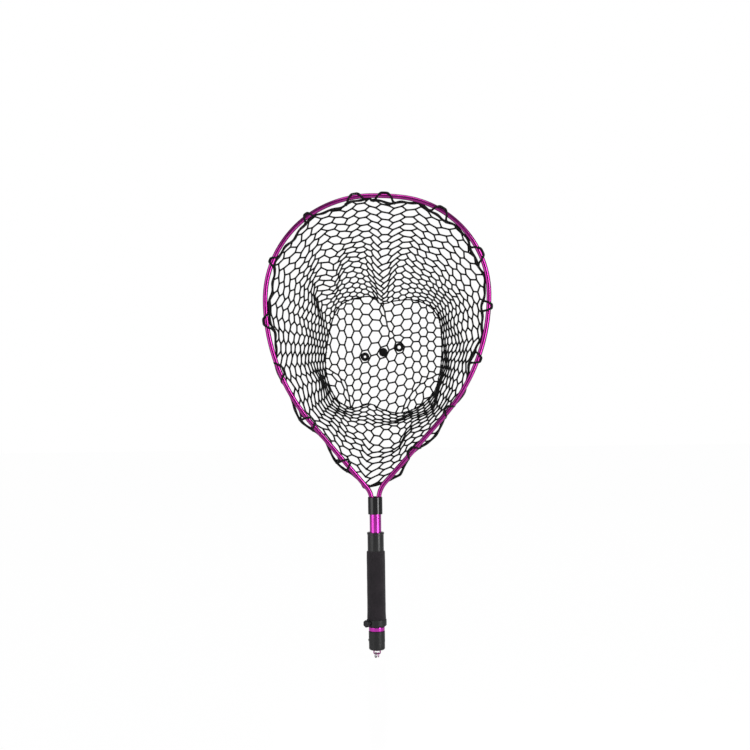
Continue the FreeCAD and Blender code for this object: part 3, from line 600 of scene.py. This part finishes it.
def ring_faces(rings, sides, closed):
    """Quads between rings of equally many vertices, and from the last ring to the first if closed."""
    faces = []
    for ring in range(rings if closed else rings - 1):
        nxt = (ring + 1) % rings
        for k in range(sides):
            after = (k + 1) % sides
            faces.append((ring * sides + k, ring * sides + after, nxt * sides + after, nxt * sides + k))
    return faces


def mesh_object(name, parts, finish, smoothed=True):
    """One object from several (vertices, faces) parts."""
    vertices, faces, start = [], [], 0
    for part_vertices, part_faces in parts:
        vertices.append(np.asarray(part_vertices, float))
        faces.extend(tuple(int(corner) + start for corner in face) for face in part_faces)
        start += len(part_vertices)
    mesh = bpy.data.meshes.new(name)
    mesh.from_pydata(np.vstack(vertices).tolist(), [], faces)
    mesh.update()
    if smoothed:
        mesh.polygons.foreach_set("use_smooth", [True] * len(mesh.polygons))
    piece = bpy.data.objects.new(name, mesh)
    bpy.context.collection.objects.link(piece)
    piece.data.materials.append(finish)
    return piece


def tube_along(line, radius, closed):
    """A round tube along points. Its radius may be a number or one number for each point."""
    sides = TUBE_SIDES
    line = np.asarray(line, float)
    radius = np.broadcast_to(np.asarray(radius, float), (len(line),))
    ahead = np.roll(line, -1, axis=0) - np.roll(line, 1, axis=0)
    if not closed:
        ahead[0] = line[1] - line[0]
        ahead[-1] = line[-1] - line[-2]
    ahead /= np.linalg.norm(ahead, axis=1, keepdims=True)
    up = np.cross(ahead[0], (0.3, 1.0, 0.2))
    ups = []
    for direction in ahead:
        up = up - direction * np.dot(up, direction)
        up = up / np.linalg.norm(up)
        ups.append(up)
    ups = np.array(ups)
    across = np.cross(ahead, ups)
    if closed:
        back = ups[-1] - ahead[0] * np.dot(ups[-1], ahead[0])
        twist = math.atan2(np.dot(back, across[0]), np.dot(back, ups[0]))
        turn = -twist * np.arange(len(line)) / len(line)
        cos, sin = np.cos(turn)[:, None], np.sin(turn)[:, None]
        ups, across = ups * cos + across * sin, across * cos - ups * sin
    angle = np.linspace(0, 2 * math.pi, sides, endpoint=False)
    rings = (line[:, None] + ups[:, None] * np.cos(angle)[None, :, None] * radius[:, None, None]
             + across[:, None] * np.sin(angle)[None, :, None] * radius[:, None, None])
    count = len(line)
    faces = ring_faces(count, sides, closed)
    if not closed:
        faces.append(tuple(range(sides))[::-1])
        faces.append(tuple((count - 1) * sides + k for k in range(sides)))
    return rings.reshape(-1, 3), faces


def turned(profile, sides, centre):
    """A closed ring solid turned from (radius, depth) points about an axis along Y through a centre."""
    count = len(profile)
    angle = np.linspace(0, 2 * math.pi, sides, endpoint=False)
    vertices = np.zeros((sides, count, 3))
    radius = np.array([p[0] for p in profile])
    vertices[:, :, 0] = np.cos(angle)[:, None] * radius + centre[0]
    vertices[:, :, 2] = np.sin(angle)[:, None] * radius + centre[2]
    vertices[:, :, 1] = np.array([p[1] for p in profile]) + centre[1]
    return vertices.reshape(-1, 3), [face[::-1] for face in ring_faces(sides, count, True)]


# ---- Bag, border, loops and discs ----
def surface_normals(points):
    """Roughly outward normals of the bag at its nodes: away from a point in the middle of its mouth."""
    middle = np.array([PANEL_MIDDLE[0], INNER_DEPTH, PANEL_MIDDLE[1]])
    normals = points - middle
    return normals / np.linalg.norm(normals, axis=1, keepdims=True)


def disc(centre, hole):
    """A moulded disc in the panel, with chamfered rims and maybe a hole."""
    half = DISC_THICKNESS / 2
    soft = DISC_EDGE
    profile = [(hole + soft, -half), (DISC_RADIUS - soft, -half), (DISC_RADIUS, -half + soft),
               (DISC_RADIUS, half - soft), (DISC_RADIUS - soft, half), (hole + soft, half),
               (hole + DISC_CORE, half - soft), (hole + DISC_CORE, -half + soft)]
    return turned(profile, DISC_SIDES, centre)


def build_bag(finish):
    jitter = np.random.default_rng(7)
    wall = Wall()
    outline = panel_outline(FINE)
    wall_points, wall_pairs = wall_strands(wall, jitter)
    panel_points, panel_pairs = panel_strands(outline, jitter)
    points = np.vstack([wall_points, panel_points])
    pairs = np.vstack([wall_pairs, panel_pairs + len(wall_points)])
    normals = surface_normals(points)
    used = np.unique(pairs)
    parts = [strand_mesh(points, pairs, normals), node_mesh(points, used, normals),
             tube_along(outline[::OUTLINE_THIN], OUTLINE_RADIUS, True)]
    for column, hole in zip(DISC_CELLS, DISC_HOLES):
        flat = warped(np.array([cell_middle(column, 0)]))
        parts.append(disc(panel_point(flat, outline)[0], hole))
    bag = mesh_object("mesh_bag", parts, finish)
    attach(bag, "head")
    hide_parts("net_bag")
    return bag


LOOP_FIRST = {-1: 22.0 * MM, 1: 24.0 * MM}     # first loop on each side of the crown
LOOPS_A_SIDE = 7
LOOP_HALF_LENGTH = 13.0 * MM
LOOP_SLACK = 0.9 * MM
LOOP_RADIUS = 1.65 * MM
LOOP_TURN = 0.84 * math.pi      # how far round the tube it goes, from the inside over the front
LOOP_CROSS = 0.42               # share of its length in which it crosses the tube's front
LOOP_HELD = 0.2                 # share in which it leaves the border
KNOT_SHARE = 0.09               # half width of a knot, as a share of the loop
LOOP_STEPS = 49
LOOP_SHIFT = 7.0                # random shift along the tube, mm
LOOP_STRETCH = (0.8, 1.5)       # random share of the half length
LOOP_SLACKS = (0.0, 0.8)        # and of the slack
KNOT_SWELL = 0.75               # how much a loop thickens where it is knotted to the border


def eyelet(hand, middle, half_length, slack):
    """A loop of the border over the tube's front: out round the crown, and in from outside on the legs."""
    share = np.linspace(0, 1, LOOP_STEPS)
    place = middle + half_length * (2 * share - 1)
    line = hoop_at(hand * place)
    inset, depth = border_offset(hand, np.abs(place))
    over = smooth(share, 0.0, LOOP_CROSS) - smooth(share, 1 - LOOP_CROSS, 1.0)
    held = smooth(share, 0.0, LOOP_HELD) - smooth(share, 1 - LOOP_HELD, 1.0)
    down_leg = middle > OUT_FROM[hand] + OUT_OVER / 2
    gap = HOOP_RADIUS + LOOP_RADIUS + slack * over
    turn = LOOP_TURN * (1 - over if down_leg else over)
    out = -np.cos(turn) * gap * held - inset * (1 - held)
    front = -np.sin(turn) * gap * held + depth * (1 - held)
    points = np.stack([line[:, 0] + line[:, 2] * out, front, line[:, 1] + line[:, 3] * out], -1)
    knots = np.exp(-(share / KNOT_SHARE) ** 2) + np.exp(-((1 - share) / KNOT_SHARE) ** 2)
    return tube_along(points, LOOP_RADIUS * (1 + KNOT_SWELL * knots), False)


def build_border(finish):
    border = mouth_line(BORDER_STEPS)
    lumps = np.sin(np.linspace(0, 2 * math.pi * BORDER_LUMPS, len(border)))
    swell = BORDER_RADIUS * (1 + BORDER_LUMP * lumps)
    parts = [tube_along(border, swell, True)]
    chance = np.random.default_rng(5)
    for hand in (-1, 1):
        for index in range(LOOPS_A_SIDE):
            place = LOOP_FIRST[hand] + index * LOOP_PITCH + chance.uniform(-LOOP_SHIFT, LOOP_SHIFT) * MM
            half_length = LOOP_HALF_LENGTH * chance.uniform(*LOOP_STRETCH)
            slack = LOOP_SLACK * chance.uniform(*LOOP_SLACKS)
            parts.append(eyelet(hand, place, half_length, slack))
    piece = mesh_object("border_cord", parts, finish)
    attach(piece, "head")
    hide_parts("rim_loops")
    return piece


# ---- Foam grip ----
GRIP_GROW = 0.25 * MM       # foam's crown beyond the plain solid, between its ends
GRIP_SIDES = 96
GRIP_RINGS = 120
FOAM_EDGE = 1.6 * MM        # radius of its rims
GRIP_RADIUS = 14.6 * MM     # above its flared foot
FLARE_FROM = 11.0 * MM      # above the grip's foot the flare runs out from here to there
FLARE_TO = 26.0 * MM
FREE_FOOT = 6.0 * MM        # above the band the foam comes free over this height
FREE_TOP = 12.0 * MM        # and below its top edge over this
WAVES = 6                   # slow waves in its side
WAVE_FIRST = 40.0           # radians a metre of the slowest, and the step to each next one
WAVE_STEP = 55.0


def build_grip(finish):
    """A foam sleeve: rounded rims, a slightly uneven side and a swollen foot, pinched under its band."""
    low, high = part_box("grip")
    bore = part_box("outer_tube")[1][0] + 0.1 * MM
    band_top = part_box("clamp_band")[1][2]
    jitter = np.random.default_rng(11)
    phase = jitter.uniform(0, 2 * math.pi, (WAVES, 2))
    foot_radius = high[0]
    angle = np.linspace(0, 2 * math.pi, GRIP_SIDES, endpoint=False)
    layers = []
    for share in np.linspace(0, 1, GRIP_RINGS):
        z = low[2] + (high[2] - low[2]) * share
        flare = 1 - smooth(z, low[2] + FLARE_FROM, low[2] + FLARE_TO)
        radius = GRIP_RADIUS + (foot_radius - GRIP_RADIUS) * flare
        free = min(smooth(z, band_top, band_top + FREE_FOOT), smooth(high[2] - z, 0, FREE_TOP))
        wave = sum(math.sin(z * (WAVE_FIRST + WAVE_STEP * k) + phase[k, 0])
                   * np.sin((k % 3 + 1) * angle + phase[k, 1]) for k in range(WAVES)) / WAVES
        end = min(z - low[2], high[2] - z)
        cut = FOAM_EDGE - math.sqrt(max(FOAM_EDGE ** 2 - max(FOAM_EDGE - end, 0) ** 2, 0))
        ring = radius - cut + free * GRIP_GROW * (0.5 + wave)
        layers.append(np.stack([np.cos(angle) * ring, np.sin(angle) * ring, np.full(GRIP_SIDES, z)], -1))
    for z in (high[2], low[2]):
        layers.append(np.stack([np.cos(angle) * bore, np.sin(angle) * bore, np.full(GRIP_SIDES, z)], -1))
    faces = ring_faces(len(layers), GRIP_SIDES, True)
    piece = mesh_object("foam_grip", [(np.vstack(layers), faces)], finish)
    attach(piece, "handle")
    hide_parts("grip")
    return piece


# ---- Finishes ----
class Finish:
    """A material built from nodes, with short calls for what its finish needs."""

    def __init__(self, name):
        self.material = bpy.data.materials.new(name)
        self.material.use_nodes = True
        self.nodes = self.material.node_tree.nodes
        self.links = self.material.node_tree.links
        self.shader = self.nodes["Principled BSDF"]
        self.place = self.nodes.new("ShaderNodeTexCoord").outputs["Object"]

    def set(self, **values):
        for name, value in values.items():
            self.shader.inputs[name.replace("_", " ")].default_value = value
        return self

    def stretched(self, scale):
        node = self.nodes.new("ShaderNodeMapping")
        node.inputs["Scale"].default_value = scale
        self.links.new(self.place, node.inputs["Vector"])
        return node.outputs["Vector"]

    def noise(self, scale, detail=3.0, rough=0.55, place=None):
        node = self.nodes.new("ShaderNodeTexNoise")
        node.inputs["Scale"].default_value = scale
        node.inputs["Detail"].default_value = detail
        node.inputs["Roughness"].default_value = rough
        self.links.new(place or self.place, node.inputs["Vector"])
        return node.outputs["Fac"]

    def cells(self, scale):
        node = self.nodes.new("ShaderNodeTexVoronoi")
        node.inputs["Scale"].default_value = scale
        self.links.new(self.place, node.inputs["Vector"])
        return node.outputs["Distance"]

    def ramp(self, value, stops):
        node = self.nodes.new("ShaderNodeValToRGB")
        band = node.color_ramp
        while len(band.elements) < len(stops):
            band.elements.new(0.5)
        for element, (place, colour) in zip(band.elements, stops):
            element.position = place
            element.color = colour if len(colour) == 4 else (*colour, 1.0)
        self.links.new(value, node.inputs["Fac"])
        return node.outputs["Color"]

    def grey(self, value, low, high):
        """Spreads a noise between two values, such as two roughnesses."""
        node = self.nodes.new("ShaderNodeMapRange")
        node.inputs["From Min"].default_value = 0.3
        node.inputs["From Max"].default_value = 0.7
        node.inputs["To Min"].default_value = low
        node.inputs["To Max"].default_value = high
        self.links.new(value, node.inputs["Value"])
        return node.outputs["Result"]

    def worn(self, colour, edge_colour, radius, amount):
        """Mixes in a worn colour along sharp edges."""
        soft = self.nodes.new("ShaderNodeBevel")
        soft.inputs["Radius"].default_value = radius
        plain = self.nodes.new("ShaderNodeNewGeometry")
        dot = self.nodes.new("ShaderNodeVectorMath")
        dot.operation = "DOT_PRODUCT"
        self.links.new(soft.outputs["Normal"], dot.inputs[0])
        self.links.new(plain.outputs["Normal"], dot.inputs[1])
        edge = self.nodes.new("ShaderNodeMapRange")
        edge.inputs["From Min"].default_value = 0.99
        edge.inputs["From Max"].default_value = 0.80
        edge.inputs["To Max"].default_value = amount
        self.links.new(dot.outputs["Value"], edge.inputs["Value"])
        mix = self.nodes.new("ShaderNodeMix")
        mix.data_type = "RGBA"
        self.links.new(edge.outputs["Result"], mix.inputs["Factor"])
        self.links.new(colour, mix.inputs["A"])
        mix.inputs["B"].default_value = (*edge_colour, 1.0)
        return mix.outputs["Result"]

    def bump(self, value, strength, distance, below=None):
        node = self.nodes.new("ShaderNodeBump")
        node.inputs["Strength"].default_value = strength
        node.inputs["Distance"].default_value = distance
        self.links.new(value, node.inputs["Height"])
        if below:
            self.links.new(below, node.inputs["Normal"])
        return node.outputs["Normal"]

    def soft_edges(self, radius):
        node = self.nodes.new("ShaderNodeBevel")
        node.inputs["Radius"].default_value = radius
        return node.outputs["Normal"]

    def wire(self, **values):
        for name, value in values.items():
            self.links.new(value, self.shader.inputs[name.replace("_", " ")])
        return self.material


def anodised(name, deep, bright, rough):
    """Dyed aluminium: a clear dyed skin, a little blotched, with a faint grain."""
    made = Finish(name).set(Metallic=1.0, Coat_Weight=0.35, Coat_Roughness=0.08)
    blotch = made.noise(38.0, 4.0)
    colour = made.ramp(blotch, [(0.3, deep), (0.7, bright)])
    grain = made.noise(700.0, 2.0)
    return made.wire(Base_Color=colour, Roughness=made.grey(made.noise(160.0), rough * 0.8, rough * 1.3),
                     Normal=made.bump(grain, 0.02, 0.01 * MM))


def black_plastic(name, tone, rough, grain, coat):
    """Moulded black plastic, fine-grained or polished, a little lighter where its edges are rubbed."""
    made = Finish(name).set(Coat_Weight=coat, Coat_Roughness=0.06)
    patch = made.noise(70.0, 4.0)
    colour = made.ramp(patch, [(0.3, (tone * 0.75,) * 3), (0.7, (tone * 1.35, tone * 1.3, tone * 1.4))])
    colour = made.worn(colour, (tone * 4 + 0.02,) * 3, 0.3 * MM, 0.6)
    return made.wire(Base_Color=colour, Roughness=made.grey(made.noise(210.0), rough * 0.8, rough * 1.25),
                     Normal=made.bump(made.noise(2600.0, 2.0), grain, 0.06 * MM, made.soft_edges(0.3 * MM)))


def bare_metal(name, tone, rough, stretch):
    """Uncoated metal with fine turning or drawing lines."""
    made = Finish(name).set(Metallic=1.0)
    lines = made.noise(1400.0, 3.0, place=made.stretched(stretch))
    colour = made.ramp(made.noise(90.0), [(0.3, tuple(part * 0.85 for part in tone)), (0.7, tone)])
    return made.wire(Base_Color=colour, Roughness=made.grey(lines, rough * 0.7, rough * 1.4),
                     Normal=made.bump(lines, 0.08, 0.05 * MM, made.soft_edges(0.15 * MM)))


def rubber(name, tone, rough):
    """Moulded rubber mesh: satin black with faint dust and flow marks."""
    made = Finish(name).set(Specular_IOR_Level=0.16)
    colour = made.ramp(made.noise(240.0, 5.0), [(0.35, (tone * 0.7,) * 3), (0.72, (tone * 1.9,) * 3)])
    return made.wire(Base_Color=colour, Roughness=made.grey(made.noise(420.0), rough * 0.85, rough * 1.2),
                     Normal=made.bump(made.noise(1800.0, 3.0), 0.12, 0.08 * MM))


def foam():
    """Closed-cell foam: matte charcoal, with fine pores and a soft sheen."""
    made = Finish("foam_black").set(Sheen_Weight=0.18, Sheen_Roughness=0.6, Specular_IOR_Level=0.2)
    shade = made.noise(55.0, 6.0, 0.65)
    colour = made.ramp(shade, [(0.3, (0.012, 0.009, 0.012)), (0.7, (0.026, 0.020, 0.025))])
    pores = made.cells(1500.0)
    fine = made.noise(3200.0, 3.0)
    bumpy = made.bump(fine, 0.35, 0.12 * MM, made.bump(pores, 0.45, 0.16 * MM))
    return made.wire(Base_Color=colour, Roughness=made.grey(made.noise(300.0), 0.78, 0.95), Normal=bumpy)


HOOP_DYE = ((0.42, 0.014, 0.27), (0.58, 0.040, 0.40))
# The tube's dye is the hoop's anodising painted brighter: a lit copy of one material, painted light standing
# for the stronger light on the inner tube
TUBE_DYE_PAINTED_BRIGHTER = ((0.80, 0.050, 0.62), (0.95, 0.085, 0.76))
FINISHES = {
    "anodised_hoop": anodised("anodised_hoop", *HOOP_DYE, 0.18),
    # painted light: the same anodising as the hoop, with its dye painted brighter
    "anodised_tube": anodised("anodised_tube", *TUBE_DYE_PAINTED_BRIGHTER, 0.15),
    "bare_alloy": bare_metal("bare_alloy", (0.72, 0.72, 0.74), 0.30, (1.0, 1.0, 0.05)),
    "gloss_black": black_plastic("gloss_black", 0.006, 0.16, 0.03, 0.5),
    "satin_black": black_plastic("satin_black", 0.012, 0.38, 0.12, 0.1),
    "moulded_nylon": black_plastic("moulded_nylon", 0.05, 0.5, 0.15, 0.0),
    "steel": bare_metal("steel", (0.55, 0.55, 0.56), 0.28, (1.0, 0.05, 1.0)),
    "steel_black": black_plastic("steel_black", 0.03, 0.35, 0.06, 0.2),
    "foam": foam(),
    "net": rubber("net_rubber", 0.006, 0.62),
    "net_cord": rubber("border_rubber", 0.008, 0.55),
}


def dress_nodes():
    """Gives every CAD node the finish of its record slot."""
    slots = {part["node"]: part["material_slot"] for part in frame["record"]["subparts"]}
    for name, node in frame["nodes"].items():
        for slot in node.material_slots:
            slot.material = FINISHES[slots[name]]


# ---- Stage, lights and camera ----
FLOOR_Z = CAD_BOX[0][2] - 0.4 * MM
FLOOR_HALF = 6.0                # metres from its middle to its edges
FLOOR_CELLS = 24
FLOOR_GLOW = 0.98               # share of plain white in what the camera sees of the floor
FLOOR_MIRROR = 0.04             # strength of its reflection
WORLD_LIGHT = 0.18
CAMERA_AT = (2.4 * MM, -2.1, 341.4 * MM)
CAMERA_ROLL = 0.745             # degrees: the net leans a little to the left going up
VIEW_WIDTH = 1.2                # metres across the frame at the hoop's plane


def build_floor():
    """A pale floor that keeps a soft shadow and a faint reflection."""
    grid = FLOOR_CELLS
    steps = np.linspace(-FLOOR_HALF, FLOOR_HALF, grid + 1)
    vertices = [(x, y, FLOOR_Z) for y in steps for x in steps]
    faces = [(j * (grid + 1) + i, j * (grid + 1) + i + 1, (j + 1) * (grid + 1) + i + 1,
              (j + 1) * (grid + 1) + i) for j in range(grid) for i in range(grid)]
    made = Finish("floor_white").set(Roughness=0.6)
    nodes, links = made.nodes, made.links
    made.shader.inputs["Base Color"].default_value = (0.92, 0.92, 0.92, 1.0)
    glow = nodes.new("ShaderNodeEmission")
    glow.inputs["Color"].default_value = (1, 1, 1, 1)
    path = nodes.new("ShaderNodeLightPath")
    share = nodes.new("ShaderNodeMath")
    share.operation = "MULTIPLY"
    share.inputs[1].default_value = FLOOR_GLOW
    links.new(path.outputs["Is Camera Ray"], share.inputs[0])
    lit = nodes.new("ShaderNodeMixShader")
    links.new(share.outputs["Value"], lit.inputs["Fac"])
    links.new(made.shader.outputs["BSDF"], lit.inputs[1])
    links.new(glow.outputs["Emission"], lit.inputs[2])
    mirror = nodes.new("ShaderNodeBsdfGlossy")
    mirror.inputs["Roughness"].default_value = 0.12
    mirror.inputs["Color"].default_value = (FLOOR_MIRROR, FLOOR_MIRROR, FLOOR_MIRROR, 1.0)
    both = nodes.new("ShaderNodeAddShader")
    links.new(lit.outputs["Shader"], both.inputs[0])
    links.new(mirror.outputs["BSDF"], both.inputs[1])
    links.new(both.outputs["Shader"], nodes["Material Output"].inputs["Surface"])
    floor = mesh_object("floor", [(vertices, faces)], made.material, smoothed=False)


def build_world():
    """White where the camera sees it, and a plain grey light elsewhere."""
    world = bpy.data.worlds.new("studio")
    bpy.context.scene.world = world
    world.use_nodes = True
    nodes, links = world.node_tree.nodes, world.node_tree.links
    plain = nodes["Background"]
    plain.inputs["Color"].default_value = (0.93, 0.95, 1.0, 1.0)
    plain.inputs["Strength"].default_value = WORLD_LIGHT
    white = nodes.new("ShaderNodeBackground")
    white.inputs["Color"].default_value = (1, 1, 1, 1)
    white.inputs["Strength"].default_value = 1.0
    path = nodes.new("ShaderNodeLightPath")
    mix = nodes.new("ShaderNodeMixShader")
    links.new(path.outputs["Is Camera Ray"], mix.inputs["Fac"])
    links.new(plain.outputs["Background"], mix.inputs[1])
    links.new(white.outputs["Background"], mix.inputs[2])
    links.new(mix.outputs["Shader"], nodes["World Output"].inputs["Surface"])


def area_light(name, place, aim, size, power):
    lamp = bpy.data.lights.new(name, "AREA")
    lamp.shape = "RECTANGLE"
    lamp.size, lamp.size_y = size
    lamp.energy = power
    holder = bpy.data.objects.new(name, lamp)
    bpy.context.collection.objects.link(holder)
    holder.location = place
    holder.rotation_euler = (Vector(aim) - Vector(place)).to_track_quat("-Z", "Y").to_euler()


def build_lights():
    middle = (0.0, 0.0, 0.3)
    area_light("soft_top", (0.1, -0.9, 2.4), middle, (1.4, 1.0), 10.0)
    area_light("wide_left", (-1.55, -1.0, 0.5), middle, (1.5, 1.9), 12.0)
    area_light("strip_right", (1.40, -1.25, 0.5), middle, (0.6, 1.9), 22.0)
    area_light("back_fill", (0.4, 1.9, 1.2), middle, (1.6, 1.2), 5.0)


def build_camera():
    data = bpy.data.cameras.new("camera")
    data.sensor_width = 36.0
    data.lens = data.sensor_width * -CAMERA_AT[1] / VIEW_WIDTH
    camera = bpy.data.objects.new("camera", data)
    bpy.context.collection.objects.link(camera)
    camera.location = CAMERA_AT
    camera.rotation_euler = (math.pi / 2, math.radians(CAMERA_ROLL), 0.0)
    bpy.context.scene.camera = camera


dress_nodes()
build_bag(FINISHES["net"])
build_border(FINISHES["net_cord"])
build_grip(FINISHES["foam"])
build_floor()
build_world()
build_lights()
build_camera()
bpy.context.scene.view_settings.view_transform = "Standard"
bpy.context.view_layer.update()
